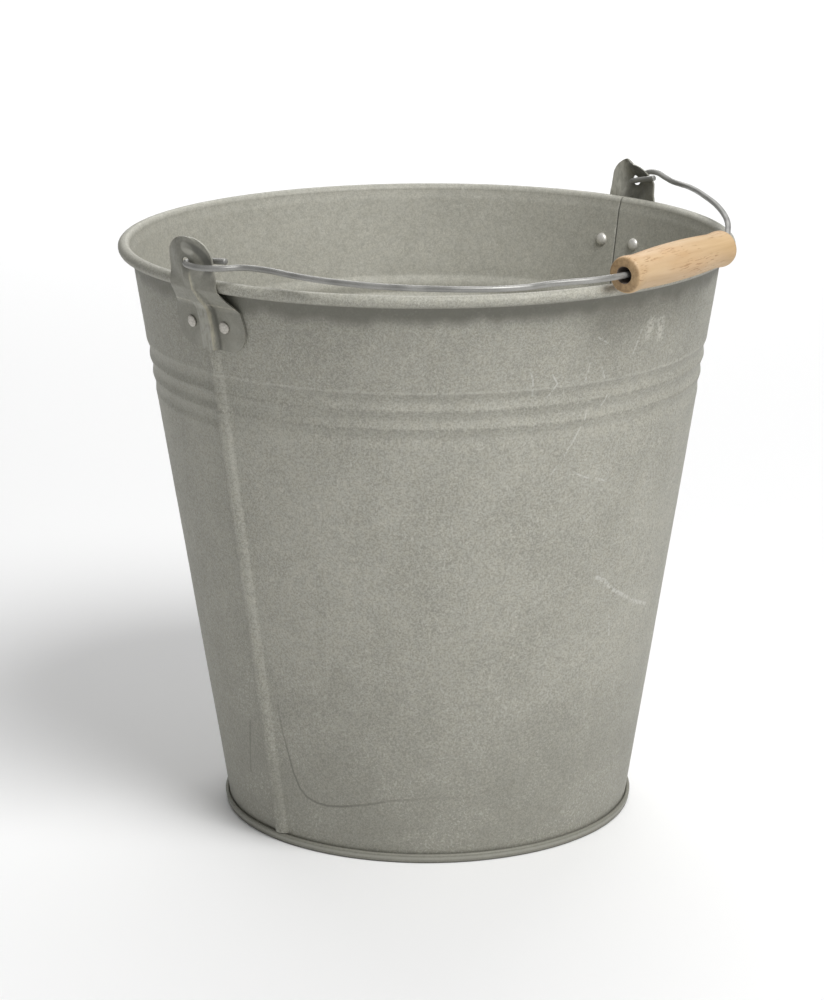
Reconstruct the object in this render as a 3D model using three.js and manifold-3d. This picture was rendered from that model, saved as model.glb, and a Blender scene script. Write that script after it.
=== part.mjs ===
// Galvanised steel florist bucket: two wall halves joined by grooved lock seams, a rim curled
// over a wire, a double-seamed bottom, two riveted ears, a hooked wire bail and a turned grip.
// Millimetres, +Z up. The origin is on the bucket's axis, in the plane that the foot stands on.
// The bail turns about an axis parallel to X and rests towards -Y.
import * as THREE from "three";
import { mergeVertices } from "three/addons/utils/BufferGeometryUtils.js";
import Module from "manifold-3d";

const wasm = await Module();
wasm.setup();

// Driving dimensions
const HEIGHT = 306; // rim top
const SHEET = 0.5; // wall and bottom sheet
const GAP = 0.3; // running gap between separate pieces
const FOOT_RADIUS = 106.6; // outer wall, extended to the floor
const MOUTH_RADIUS = 153.9; // outer wall, extended to the rim top
const SEGMENTS = 48; // facets round the bucket

const RIM_RADIUS = 160;
const CURL_RADIUS = 3.1;
const CURL_END = -140; // degrees, where the curled edge stops

const BEAD_LOW = 227.2; // lower end of the band of ring grooves
const BEADS = 3; // grooves in the band
const BEAD_PITCH = 9.5;
const BEAD_DEPTH = 0.6;

const CHIME_HEIGHT = 4.8;
const PANEL_HEIGHT = 4.5; // underside of the bottom next to the wall
const PANEL_SUNK = 2; // the middle of the bottom is pressed down by this much
const PANEL_RADIUS = 88;

const SEAM_TOP = 289;
const SEAM_BOTTOM = 5.4;
const SEAM_FOLD = -2.2; // outer fold edge, from the seam's centre line
const SEAM_JOINT = 2.3; // joint line on the inside
const SEAM_FOOT = 5.3; // where the covering sheet leaves the wall

const EAR_SHEET = 1.1;
const EAR_TOP = 327.3;
const EAR_BOTTOM = 269.5;
const EAR_HALF_WIDTH = 24.6;
const EAR_CORNER = 11; // radius of the lower corners
const WAIST = 3.2; // how far each side draws in below the step
const NECK_HALF_WIDTH = 16.4;
const CROWN_HALF_WIDTH = 15.4;
const CROWN_HEIGHT = 316.5; // the round top starts here
const STEP_LOW = 290.5;
const STEP_HIGH = 301;
const TAB_RADIUS = 160.5; // inner face of the upright tab, at the top of the step
const TAB_LEAN = 0.14; // outward lean of the tab, per unit of height
const BOSS_HEIGHT = 1;
const BOSS_FLAT = 3.6;
const BOSS_REACH = 13.5;
const BENT_IN = 3.8; // how far the right ear's corner towards -Y is bent in over the bucket
const BENT_DOWN = 2.7; // and how much lower it stands
const PINCH = 0.13; // share of its width that the same ear loses on its other side
const RIB_HEIGHT = 3.1;
const RIB_HALF_WIDTH = 6.4;
const HOLE_HEIGHT = 314.5;
const HOLE_RADIUS = 2.7;

const RIVET_SIDE = 11.7; // from the ear's centre line
const RIVET_HEIGHT = 282;
const RIVET_RADIUS = 1.9;
const RIVET_HEAD = 3.4;

const BAIL_WIRE = 1.5; // radius
const REST_TILT = 0.35; // degrees that the bail lies below the level of its holes
const GRIP_BORE = 4;
const GRIP_LENGTH = 86;
const GRIP_END = 9;
const GRIP_MIDDLE = 9.6;
const GRIP_NECK = 8.5;

const steel = { color: 0x8b8b83, roughness: 0.6, metalness: 0.85 };
const MATERIALS = {
  wall: new THREE.MeshStandardMaterial(steel),
  base: new THREE.MeshStandardMaterial({ ...steel, color: 0x84847d }),
  ear: new THREE.MeshStandardMaterial({ ...steel, color: 0x75756f, roughness: 0.55 }),
  rivet: new THREE.MeshStandardMaterial({ ...steel, color: 0xa8a29c, roughness: 0.4 }),
  wire: new THREE.MeshStandardMaterial({ ...steel, color: 0x93928d, roughness: 0.35 }),
  grip: new THREE.MeshStandardMaterial({ color: 0xdcb27f, roughness: 0.65, metalness: 0 }),
};

const radians = THREE.MathUtils.degToRad;
const smooth = (value, from, to) => THREE.MathUtils.smoothstep(value, from, to);
const SLOPE = (MOUTH_RADIUS - FOOT_RADIUS) / HEIGHT;
const wallRadius = (z) => FOOT_RADIUS + SLOPE * z;
const point = (r, z) => new THREE.Vector2(r, z);

// Solids from meshes, and back
function solidOf(geometry) {
  const plain = geometry.index ? geometry.toNonIndexed() : geometry.clone();
  plain.deleteAttribute("normal");
  plain.deleteAttribute("uv");
  const merged = mergeVertices(plain, 1e-4);
  const mesh = new wasm.Mesh({
    numProp: 3,
    vertProperties: new Float32Array(merged.attributes.position.array),
    triVerts: new Uint32Array(merged.index.array),
  });
  return new wasm.Manifold(mesh);
}

function geometryOf(solid) {
  const mesh = solid.getMesh();
  const geometry = new THREE.BufferGeometry();
  geometry.setAttribute("position", new THREE.BufferAttribute(mesh.vertProperties, 3));
  geometry.setIndex(new THREE.BufferAttribute(mesh.triVerts, 1));
  return geometry;
}

function meshOf(name, geometry, material) {
  const mesh = new THREE.Mesh(geometry, material);
  mesh.name = name;
  return mesh;
}

// A closed outline (radius, height) turned round +Z; its points run so that the faces point out
function turned(outline, segments = SEGMENTS) {
  const closed = [...outline];
  if (THREE.ShapeUtils.area(closed) < 0) closed.reverse();
  closed.push(closed[0].clone());
  const geometry = new THREE.LatheGeometry(closed, segments);
  return geometry.rotateX(Math.PI / 2);
}

function block(x0, x1, y0, y1, z0, z1) {
  const box = new THREE.BoxGeometry(x1 - x0, y1 - y0, z1 - z0);
  return solidOf(box.translate((x0 + x1) / 2, (y0 + y1) / 2, (z0 + z1) / 2));
}

// Outline of a strip of sheet from its centre line
function strip(line, thickness) {
  const left = [];
  const right = [];
  const last = line.length - 1;
  line.forEach((here, i) => {
    const before = i > 0 ? line[i - 1] : here.clone().multiplyScalar(2).sub(line[1]);
    const after = i < last ? line[i + 1] : here.clone().multiplyScalar(2).sub(line[last - 1]);
    const incoming = here.clone().sub(before).normalize();
    const along = after.clone().sub(here).normalize().add(incoming).normalize();
    const side = point(-along.y, along.x).multiplyScalar(thickness / 2 / along.dot(incoming));
    left.push(here.clone().add(side));
    right.unshift(here.clone().sub(side));
  });
  return [...left, ...right];
}

function arc(centre, radius, from, to, steps) {
  return Array.from({ length: steps + 1 }, (_, i) => {
    const angle = radians(from + ((to - from) * i) / steps);
    return point(centre.x + radius * Math.cos(angle), centre.y + radius * Math.sin(angle));
  });
}

// The wall: its hook in the bottom seam, the cone with its ring grooves, and the curled rim
const CURL_CENTRE = point(RIM_RADIUS - CURL_RADIUS, HEIGHT - CURL_RADIUS);

function beadOffset(z) {
  const turn = (2 * Math.PI * (z - BEAD_LOW)) / BEAD_PITCH;
  return (-BEAD_DEPTH * (1 - Math.cos(turn))) / 2;
}

// Sheets side by side at the wall, counted outwards from the wall itself
const layer = (n, z) => point(wallRadius(z) + n * (SHEET + GAP) - SHEET / 2, z);

function wallLine() {
  const hookLow = GAP + SHEET * 1.5;
  const line = [layer(2, CHIME_HEIGHT - SHEET - GAP), layer(2, hookLow), layer(0, hookLow)];
  line.push(layer(0, CHIME_HEIGHT + 1));
  const steps = 6; // to each groove
  for (let i = 0; i <= steps * BEADS; i += 1) {
    const z = BEAD_LOW + (BEAD_PITCH * i) / steps;
    line.push(point(wallRadius(z) - SHEET / 2 + beadOffset(z), z));
  }
  line.push(layer(0, HEIGHT - 3 * CURL_RADIUS));
  line.push(...arc(CURL_CENTRE, CURL_RADIUS - SHEET / 2, 180, CURL_END, 10));
  return line;
}

// Lock seam, in the plane across the seam: height above the wall's inner face, and side, which
// is counter-clockwise. One sheet covers the other, and each one's hook lies in the other's.
const seamLayer = (n) => SHEET / 2 + n * (SHEET + GAP);

function coveringSeam() {
  return strip(
    [
      point(seamLayer(0), SEAM_FOOT + 0.6),
      point(seamLayer(0), SEAM_FOOT),
      point(seamLayer(3), SEAM_JOINT + 0.9),
      point(seamLayer(3), SEAM_FOLD + SHEET / 2),
      point(seamLayer(1), SEAM_FOLD + SHEET / 2),
      point(seamLayer(1), SEAM_JOINT - SHEET - 2 * GAP),
    ],
    SHEET,
  );
}

function innerSeam() {
  return strip(
    [
      point(seamLayer(0), SEAM_FOLD - 2),
      point(seamLayer(0), SEAM_JOINT - SHEET / 2),
      point(seamLayer(2), SEAM_JOINT - SHEET / 2),
      point(seamLayer(2), SEAM_FOLD + SHEET + 2 * GAP),
    ],
    SHEET,
  );
}

// A seam section run up the wall's slant at the +X side, counter-clockwise being +Y
function seamStrip(outline) {
  const shape = new THREE.Shape(outline);
  const rise = SEAM_TOP - SEAM_BOTTOM;
  const geometry = new THREE.ExtrudeGeometry(shape, { depth: rise, bevelEnabled: false });
  const matrix = new THREE.Matrix4();
  const low = wallRadius(SEAM_BOTTOM) - SHEET;
  matrix.set(1, 0, SLOPE, low, 0, 1, 0, 0, 0, 0, 1, SEAM_BOTTOM, 0, 0, 0, 1);
  geometry.applyMatrix4(matrix);
  return solidOf(geometry);
}

function halfTurn(solid) {
  return solid.rotate([0, 0, 180]);
}

// The half towards -Y covers at -X and is covered at +X
function wallHalf() {
  const whole = solidOf(turned(strip(wallLine(), SHEET)));
  const reach = 2 * RIM_RADIUS;
  const inner = SEAM_FOLD - 1.5;
  const keep = block(-reach, reach, -reach, -GAP / 2, -1, HEIGHT + 1);
  const coverCut = block(-reach, 0, -SEAM_FOOT - 0.3, reach, SEAM_BOTTOM, SEAM_TOP);
  const innerCut = block(0, reach, inner, reach, SEAM_BOTTOM, SEAM_TOP);
  const top = block(-reach, reach, -SEAM_FOOT - 1, SEAM_FOOT, SEAM_TOP, SEAM_TOP + GAP);
  const edge = block(-reach, reach, -SEAM_FOOT - 1, SEAM_FOOT, SEAM_BOTTOM - GAP, SEAM_BOTTOM);
  const sheet = whole.intersect(keep).subtract(coverCut).subtract(innerCut);
  const cover = halfTurn(seamStrip(coveringSeam()));
  const hook = seamStrip(innerSeam());
  return sheet.subtract(top).subtract(edge).add(cover).add(hook);
}

// Rivet axes: square to the wall, either side of each ear
function rivetFrame(side, flank) {
  const radius = wallRadius(RIVET_HEIGHT);
  const angle = (flank * RIVET_SIDE) / radius + (side < 0 ? Math.PI : 0);
  const frame = new THREE.Matrix4().makeRotationZ(angle);
  const tilt = new THREE.Matrix4().makeRotationY(Math.PI / 2 + Math.atan(SLOPE));
  const move = new THREE.Matrix4().makeTranslation(radius, 0, RIVET_HEIGHT);
  return frame.multiply(move).multiply(tilt);
}

const EAR_SIDES = [
  ["left", -1],
  ["right", 1],
];
const FLANKS = [
  ["front", -1],
  ["rear", 1],
];

function rivetHole(side, flank) {
  const drill = new THREE.CylinderGeometry(RIVET_RADIUS + GAP, RIVET_RADIUS + GAP, 12, 16);
  return solidOf(drill.rotateX(Math.PI / 2).applyMatrix4(rivetFrame(side, flank)));
}

// Its z = 0 is the wall's outer face. The wall's flat facets lie a little inside the true round.
function rivet() {
  const facet = wallRadius(RIVET_HEIGHT) * (1 - Math.cos(Math.PI / SEGMENTS));
  const out = EAR_SHEET + 2 * GAP;
  const inside = -SHEET - GAP - facet;
  const outline = [
    point(0, inside - 2.2),
    point(1.9, inside - 1.8),
    point(3, inside - 1),
    point(RIVET_HEAD, inside),
    point(RIVET_RADIUS, inside),
    point(RIVET_RADIUS, out),
    point(RIVET_HEAD, out),
    point(RIVET_HEAD - 0.3, out + 0.7),
    point(2.2, out + 1.1),
    point(0, out + 1.2),
  ];
  return new THREE.LatheGeometry(outline, 14).rotateX(Math.PI / 2);
}

// The ear: half width and inner face, by height and by side from its centre line
function earHalfWidth(z) {
  if (z > CROWN_HEIGHT) {
    const rise = (z - CROWN_HEIGHT) / (EAR_TOP - CROWN_HEIGHT);
    return CROWN_HALF_WIDTH * Math.sqrt(Math.max(1 - rise * rise, 0));
  }
  if (z > STEP_HIGH) {
    const rise = (z - STEP_HIGH) / (CROWN_HEIGHT - STEP_HIGH);
    return THREE.MathUtils.lerp(NECK_HALF_WIDTH, CROWN_HALF_WIDTH, rise);
  }
  const plate = EAR_HALF_WIDTH - WAIST * smooth(z, EAR_BOTTOM + EAR_CORNER, STEP_HIGH);
  if (z > STEP_LOW) return THREE.MathUtils.lerp(plate, NECK_HALF_WIDTH, earStep(z));
  if (z > EAR_BOTTOM + EAR_CORNER) return plate;
  const drop = 1 - (z - EAR_BOTTOM) / EAR_CORNER;
  return EAR_HALF_WIDTH - EAR_CORNER + EAR_CORNER * Math.sqrt(Math.max(1 - drop * drop, 0));
}

// The ear lies on the wall, steps out past the rim, and leans outwards above it
const earStep = (z) => smooth(z, STEP_LOW, STEP_HIGH);
const earTab = (z) => TAB_RADIUS + TAB_LEAN * (z - STEP_HIGH);
const earBase = (z) => THREE.MathUtils.lerp(wallRadius(z) + GAP, earTab(z), earStep(z));

// A rib clears the lock seam, and a boss round the hole stands out
function earRelief(side, z) {
  const width = RIB_HALF_WIDTH * (1 - 0.8 * earStep(z));
  const height = RIB_HEIGHT * (1 - 0.9 * earStep(z));
  const rib = height * smooth(-Math.abs(side), -width, -width / 2);
  const reach = Math.hypot(side, z - HOLE_HEIGHT);
  const boss = BOSS_HEIGHT * (1 - smooth(reach, BOSS_FLAT, BOSS_REACH));
  return rib + boss;
}

function earRows() {
  const rows = [];
  const add = (from, to, steps) => {
    for (let i = 0; i < steps; i += 1) rows.push(from + ((to - from) * i) / steps);
  };
  const round = 6; // rows in each rounded end
  const quarter = (i) => (i * Math.PI) / (2 * round);
  for (let i = 0; i < round; i += 1) {
    rows.push(EAR_BOTTOM + EAR_CORNER * (1 - Math.cos(quarter(i))));
  }
  add(EAR_BOTTOM + EAR_CORNER, STEP_LOW, 4);
  add(STEP_LOW, STEP_HIGH, 6);
  add(STEP_HIGH, CROWN_HEIGHT, 6);
  for (let i = 0; i <= round; i += 1) {
    rows.push(CROWN_HEIGHT + (EAR_TOP - CROWN_HEIGHT) * Math.sin(quarter(i)));
  }
  return rows;
}

// Grid lines across the ear: close together over the rib, then evenly out to the edge
function earColumns(width) {
  const rib = RIB_HALF_WIDTH * Math.min(1, width / 8);
  const inner = [0.25, 0.5, 0.75, 1].map((share) => share * rib);
  const outer = [1, 2, 3].map((share) => rib + ((width - rib) * share) / 3);
  const half = [...inner, ...outer];
  return [...half.map((side) => -side).reverse(), 0, ...half];
}

// The right ear has been knocked out of shape above the rim
function knocked(side, z) {
  const corner = smooth(-side, -5, 3);
  return {
    across: side * (side > 0 ? 1 - PINCH * smooth(z, 303, 311) : 1),
    inwards: BENT_IN * corner * smooth(z, 312, EAR_TOP),
    down: BENT_DOWN * corner * smooth(z, 307, EAR_TOP),
  };
}

const straight = (side) => ({ across: side, inwards: 0, down: 0 });

function earSheet(shape) {
  const rows = earRows();
  const columns = earColumns(1).length - 1;
  const vertices = [];
  const faces = [];
  for (const outward of [0, EAR_SHEET]) {
    for (const z of rows) {
      for (const side of earColumns(Math.max(earHalfWidth(z), 0.6))) {
        const { across, inwards, down } = shape(side, z);
        const radius = earBase(z) + earRelief(side, z) + outward - inwards;
        const angle = across / earBase(z);
        vertices.push(radius * Math.cos(angle), radius * Math.sin(angle), z - down);
      }
    }
  }
  const across = columns + 1;
  const sheetSize = across * rows.length;
  const at = (layer, row, column) => layer * sheetSize + row * across + column;
  const quad = (a, b, c, d) => faces.push(a, b, c, a, c, d);
  for (let row = 0; row < rows.length - 1; row += 1) {
    for (let i = 0; i < columns; i += 1) {
      quad(at(1, row, i), at(1, row, i + 1), at(1, row + 1, i + 1), at(1, row + 1, i));
      quad(at(0, row, i), at(0, row + 1, i), at(0, row + 1, i + 1), at(0, row, i + 1));
    }
    quad(at(0, row, 0), at(1, row, 0), at(1, row + 1, 0), at(0, row + 1, 0));
    const end = columns;
    quad(at(0, row, end), at(0, row + 1, end), at(1, row + 1, end), at(1, row, end));
  }
  const last = rows.length - 1;
  for (let i = 0; i < columns; i += 1) {
    quad(at(0, 0, i), at(0, 0, i + 1), at(1, 0, i + 1), at(1, 0, i));
    quad(at(0, last, i), at(1, last, i), at(1, last, i + 1), at(0, last, i + 1));
  }
  const geometry = new THREE.BufferGeometry();
  geometry.setAttribute("position", new THREE.Float32BufferAttribute(vertices, 3));
  geometry.setIndex(faces);
  return geometry;
}

function ear(side) {
  const solidSheet = solidOf(earSheet(side > 0 ? knocked : straight));
  let solid = side > 0 ? solidSheet : halfTurn(solidSheet);
  const drill = new THREE.CylinderGeometry(HOLE_RADIUS, HOLE_RADIUS, 30, 20);
  drill.rotateZ(Math.PI / 2).translate(side * TAB_RADIUS, 0, HOLE_HEIGHT);
  solid = solid.subtract(solidOf(drill));
  for (const [, flank] of FLANKS) solid = solid.subtract(rivetHole(side, flank));
  return solid;
}

// The bottom: pressed panel, leg down inside the wall, and the double seam round the wall's hook
function bottomDisc() {
  const high = PANEL_HEIGHT + SHEET / 2;
  const line = [
    point(0, high - PANEL_SUNK),
    point(PANEL_RADIUS, high - PANEL_SUNK),
    point(PANEL_RADIUS + 2 * PANEL_SUNK, high),
    layer(-1, high),
    layer(-1, SHEET / 2),
    layer(3, SHEET / 2),
    layer(3, CHIME_HEIGHT - SHEET / 2),
    layer(1, CHIME_HEIGHT - SHEET / 2),
    layer(1, 2 * SHEET + 3 * GAP),
  ];
  const outline = strip(line, SHEET);
  if (THREE.ShapeUtils.area(outline) < 0) outline.reverse();
  return new THREE.LatheGeometry(outline, SEGMENTS).rotateX(Math.PI / 2);
}

function rimWire() {
  const radius = CURL_RADIUS - SHEET - GAP;
  return turned(arc(CURL_CENTRE, radius, 0, 315, 7));
}

// The bail: points across the bucket (x), out from the hinge line, and above the bail's plane
class HandCurve extends THREE.CatmullRomCurve3 {
  getUtoTmapping(u) {
    return u;
  }
}

const GRIP_START = [-36.5, 169.3];
const GRIP_STOP = [48.5, 158.8];

const BAIL_POINTS = [
  // tail inside the left ear, through its hole
  [-158, 21.5, 2.4],
  [-158, 13, 1.5],
  [-158.2, 5, 0.6],
  [-159.3, 1.2, 0.1],
  [-161.6, 0, 0],
  [-165, 0.2, 0],
  [-166.7, 2.2, -0.3],
  [-167.1, 6, -0.6],
  // left strand: past the ear, over the rim and round
  [-167, 13, -0.6],
  [-162.5, 22, -0.3],
  [-154, 29.5, 0],
  [-150, 42, 0],
  [-149.6, 60, 0],
  [-147.5, 78, 0],
  [-139.5, 103, 0],
  [-125, 126.5, 0],
  [-105.5, 147, 0],
  [-90, 155.8, 0],
  [-77, 158.2, 0],
  [-66, 162.3, 0],
  [-55, 166.8, 0],
  GRIP_START,
  [-8, 165.8, 0],
  [20, 162.3, 0],
  GRIP_STOP,
  [54, 156.9, 0],
  // right strand
  [64.4, 148.7, 0],
  [80.8, 135.1, 0],
  [97, 121.8, 0],
  [111, 108.9, 0],
  [125.5, 93.7, 0],
  [139.3, 77.5, 0],
  [152.2, 60, 0],
  [163, 44, 0],
  [169, 33, 0],
  [171, 25, 0.3],
  [170.7, 20, 1.1],
  [169.9, 15.5, 2.9],
  [169, 11.5, 4.7],
  [168.1, 6.5, 4.9],
  [167.4, 2.8, 3.4],
  [166.5, 0.6, 1.2],
  [164.6, 0, 0],
  [161.6, 0, 0],
  [159.3, 1.2, 0.3],
  [158.2, 5, 1.3],
  [158, 12, 2.9],
  [158, 18.5, 4.2],
];

function bailPoint([x, out, up = 0]) {
  const drop = out * Math.tan(radians(REST_TILT));
  return new THREE.Vector3(x, -out, HOLE_HEIGHT - drop + up);
}

function bailWire() {
  const path = new HandCurve(BAIL_POINTS.map(bailPoint), false, "centripetal");
  const round = new THREE.Shape(arc(point(0, 0), BAIL_WIRE, 0, 315, 7));
  const steps = 3 * (BAIL_POINTS.length - 1);
  return new THREE.ExtrudeGeometry(round, { steps, bevelEnabled: false, extrudePath: path });
}

// The grip: a turned barrel with a soft bead at each end, bored for the wire
function grip() {
  const half = GRIP_LENGTH / 2;
  const outer = [
    [GRIP_BORE, -half],
    [7.6, -half],
    [8.6, -half + 0.5],
    [GRIP_END, -half + 2.6],
    [GRIP_END, -half + 6],
    [GRIP_NECK, -half + 11.5],
    [9, -half + 20],
    [GRIP_MIDDLE, -half + 33],
    [GRIP_MIDDLE, half - 33],
    [9, half - 20],
    [GRIP_NECK, half - 11.5],
    [GRIP_END, half - 6],
    [GRIP_END, half - 2.6],
    [8.6, half - 0.5],
    [7.6, half],
    [GRIP_BORE, half],
  ];
  const geometry = turned(
    outer.map(([r, z]) => point(r, z)),
    18,
  );
  const start = bailPoint(GRIP_START);
  const stop = bailPoint(GRIP_STOP);
  const along = stop.clone().sub(start).normalize();
  const spin = new THREE.Quaternion().setFromUnitVectors(new THREE.Vector3(0, 0, 1), along);
  const mesh = meshOf("wooden_grip", geometry, MATERIALS.grip);
  mesh.quaternion.copy(spin);
  mesh.position.copy(start.add(stop).multiplyScalar(0.5));
  return mesh;
}

// Assembly
const bucket = new THREE.Group();
const holes = { front: [], rear: [] };
for (const [, side] of EAR_SIDES) {
  for (const [, flank] of FLANKS) {
    const half = side * flank > 0 ? "rear" : "front";
    holes[half].push(rivetHole(side, flank));
  }
}
const frontHalf = wallHalf();
const halves = { front: frontHalf, rear: halfTurn(frontHalf) };
for (const name of ["front", "rear"]) {
  const drilled = holes[name].reduce((solid, hole) => solid.subtract(hole), halves[name]);
  bucket.add(meshOf(`wall_${name}`, geometryOf(drilled), MATERIALS.wall));
}
bucket.add(meshOf("bottom_disc", bottomDisc(), MATERIALS.base));
bucket.add(meshOf("rim_wire", rimWire(), MATERIALS.wire));

for (const [earName, side] of EAR_SIDES) {
  bucket.add(meshOf(`bail_ear_${earName}`, geometryOf(ear(side)), MATERIALS.ear));
  for (const [, flank] of FLANKS) {
    const half = side * flank > 0 ? "rear" : "front";
    const mesh = meshOf(`rivet_${earName}_${half}`, rivet(), MATERIALS.rivet);
    mesh.applyMatrix4(rivetFrame(side, flank));
    bucket.add(mesh);
  }
}

bucket.add(meshOf("bail_wire", bailWire(), MATERIALS.wire));
bucket.add(grip());

export default bucket;
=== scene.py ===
import math

import bmesh
import bpy
from mathutils import Euler, Matrix, Vector, noise


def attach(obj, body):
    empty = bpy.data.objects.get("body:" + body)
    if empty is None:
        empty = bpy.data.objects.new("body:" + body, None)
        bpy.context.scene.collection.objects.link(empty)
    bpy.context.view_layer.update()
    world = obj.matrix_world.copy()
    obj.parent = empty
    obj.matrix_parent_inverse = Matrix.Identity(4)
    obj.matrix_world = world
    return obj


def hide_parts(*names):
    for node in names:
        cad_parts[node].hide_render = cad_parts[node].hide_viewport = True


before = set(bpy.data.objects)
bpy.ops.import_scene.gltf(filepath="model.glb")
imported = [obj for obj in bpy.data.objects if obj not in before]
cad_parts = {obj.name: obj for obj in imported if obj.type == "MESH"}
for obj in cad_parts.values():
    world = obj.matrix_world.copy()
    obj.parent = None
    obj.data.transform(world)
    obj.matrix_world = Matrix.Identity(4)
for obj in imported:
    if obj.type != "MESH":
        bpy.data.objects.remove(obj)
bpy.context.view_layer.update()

# A galvanised florist bucket. Shapes are worked out in millimetres and made in metres.
MM = 0.001

# Wall
HEIGHT = 306.0
SHEET = 0.5
GAP = 0.3
FOOT_RADIUS = 106.6
MOUTH_RADIUS = 153.9
SLOPE = (MOUTH_RADIUS - FOOT_RADIUS) / HEIGHT
RIM_RADIUS = 159.9
CURL_RADIUS = 3.1
CURL_END = -140
BEAD_LOW = 227.2
BEADS = 3
BEAD_PITCH = 9.5
BEAD_DEPTH = 0.75
BEAD_CREST = 0.12
WALL_COLUMNS = 132
CURL_STEPS = 40
DENT = 0.28  # how far the sheet waves in and out between its stiff ends
RIPPLE = 0.05

# Lock seam
SEAM_TOP = 289.0
SEAM_BOTTOM = 5.4
SEAM_JOINT = 2.3
SEAM_WAVER = 0.16
SEAM_LUMPS = 0.07
TUCK = 2.0  # how far each half's end reaches under its neighbour's cover

# Foot
CHIME_HEIGHT = 4.8
PANEL_HEIGHT = 4.5
PANEL_SUNK = 2.0
PANEL_RADIUS = 88.0
FOLD_RADIUS = 0.75
FOOT_SEGMENTS = 264

# Ears
EAR_SHEET = 1.1
EAR_TOP = 327.2
EAR_BOTTOM = 269.6
EAR_HALF_WIDTH = 24.5
EAR_CORNER = 11.0
WAIST = 3.2
NECK_HALF_WIDTH = 16.4
CROWN_HALF_WIDTH = 15.4
CROWN_HEIGHT = 316.5
STEP_LOW = 290.5
STEP_HIGH = 301.0
TAB_RADIUS = 160.5
TAB_LEAN = 0.14
BOSS_HEIGHT = 1.5
RIB_HEIGHT = 3.1
HOLE_HEIGHT = 314.5
HOLE_RADIUS = 2.7
LIP = 1.0
DISH = 0.6
BENT_IN = 3.8
BENT_DOWN = 3.4
PINCH = 0.06
EAR_COLUMNS = 56
EAR_ROW = 0.7
EAR_ROUND_STEPS = 16
EAR_RIPPLE = 0.06
EAR_EDGE = 0.22
DRILL_SPOKES = 40
DRILL_ENDS = (150.0, 172.0)

# Rivets
RIVET_SIDE = 11.7
RIVET_HEIGHT = 282.0
RIVET_SEGMENTS = 44
DOME_STEPS = 14

# Bail and grip
WIRE_RADIUS = 1.5
WIRE_SEGMENTS = 24
WIRE_STEPS = 8
REST_TILT = math.radians(0.35)
GRIP_LENGTH = 86.0
GRIP_SEGMENTS = 72
GRIP_GRAIN = 0.06
GRIP_START = (-36.5, 169.3)
GRIP_STOP = (48.5, 158.8)

# The bail's course from hook to hook: across, out from the hinge, and up from its plane
BAIL_POINTS = [
    (-158, 21.5, 2.4), (-158, 13, 1.5), (-158.2, 5, 0.6), (-159.3, 1.2, 0.1),
    (-161.6, 0, 0), (-165, 0.2, 0), (-166.7, 2.2, -0.3), (-167.1, 6, -0.6),
    (-167, 13, -0.6), (-162.5, 22, -0.3), (-154, 29.5, 0), (-150, 42, 0),
    (-149.6, 60, 0), (-147.5, 78, 0), (-139.5, 103, 0), (-125, 126.5, 0),
    (-105.5, 147, 0), (-90, 155.8, 0), (-77, 158.2, 0), (-66, 162.3, 0),
    (-55, 166.8, 0), (*GRIP_START, 0), (-8, 165.8, 0), (20, 162.3, 0),
    (*GRIP_STOP, 0), (54, 156.9, 0), (64.4, 148.7, 0), (80.8, 135.1, 0),
    (97, 121.8, 0), (111, 108.9, 0), (125.5, 93.7, 0), (139.3, 77.5, 0),
    (152.2, 60, 0), (163, 44, 0), (169, 33, 0), (171, 25, 0.3),
    (170.7, 20, 1.1), (169.9, 15.5, 2.9), (169, 11.5, 4.7), (168.1, 6.5, 4.9),
    (167.4, 2.8, 3.4), (166.5, 0.6, 1.2), (164.6, 0, 0), (161.6, 0, 0),
    (159.3, 1.2, 0.3), (158.2, 5, 1.3), (158, 12, 2.9), (158, 18.5, 4.2),
]


def smooth(value, low, high):
    t = min(max((value - low) / (high - low), 0.0), 1.0)
    return t * t * (3 - 2 * t)


def lerp(a, b, t):
    return a + (b - a) * t


def climb(low, high, step):
    """Heights from low to just below high."""
    heights = []
    while low < high:
        heights.append(low)
        low += step
    return heights


def wander(seed, *place):
    """Smooth noise from about -1 to 1, at a place of two or three coordinates."""
    x, y, z = (*place, 0.0)[:3]
    return noise.noise(Vector((x + seed * 17.3, y - seed * 5.9, z)))


def wall_radius(z):
    return FOOT_RADIUS + SLOPE * z


# ---------------------------------------------------------------- meshes
def piece(name, points, faces, material, body, sharp, matrix=None):
    """A finished piece that stands for the CAD node of its name. Points in millimetres."""
    mesh = bpy.data.meshes.new(name)
    mesh.from_pydata([tuple(c * MM for c in p) for p in points], [], faces)
    mesh.validate()
    mesh.shade_smooth()
    mesh.set_sharp_from_angle(angle=math.radians(sharp))
    mesh.materials.append(material)
    thing = bpy.data.objects.new(name, mesh)
    bpy.context.scene.collection.objects.link(thing)
    if matrix is not None:
        thing.matrix_world = matrix
    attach(thing, body)
    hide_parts(name)
    return thing


def lattice(rows, wrap_rows=False, wrap_columns=False):
    """Points and quads of a grid of rows; either way may close on itself."""
    across = len(rows[0])
    points = [p for row in rows for p in row]
    faces = []
    for i in range(len(rows) - (0 if wrap_rows else 1)):
        below, above = i * across, (i + 1) % len(rows) * across
        for j in range(across - (0 if wrap_columns else 1)):
            k = (j + 1) % across
            faces.append((below + j, below + k, above + k, above + j))
    return points, faces


def lathe(outline, segments, wobble):
    """An outline of (radius, height) turned round Z, made slightly uneven by wobble."""
    rows = []
    for i in range(segments):
        angle = 2 * math.pi * i / segments
        row = []
        for point in outline:
            r, z = wobble(angle, *point)
            row.append((r * math.cos(angle), r * math.sin(angle), z))
        rows.append(row)
    return rows


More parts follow.
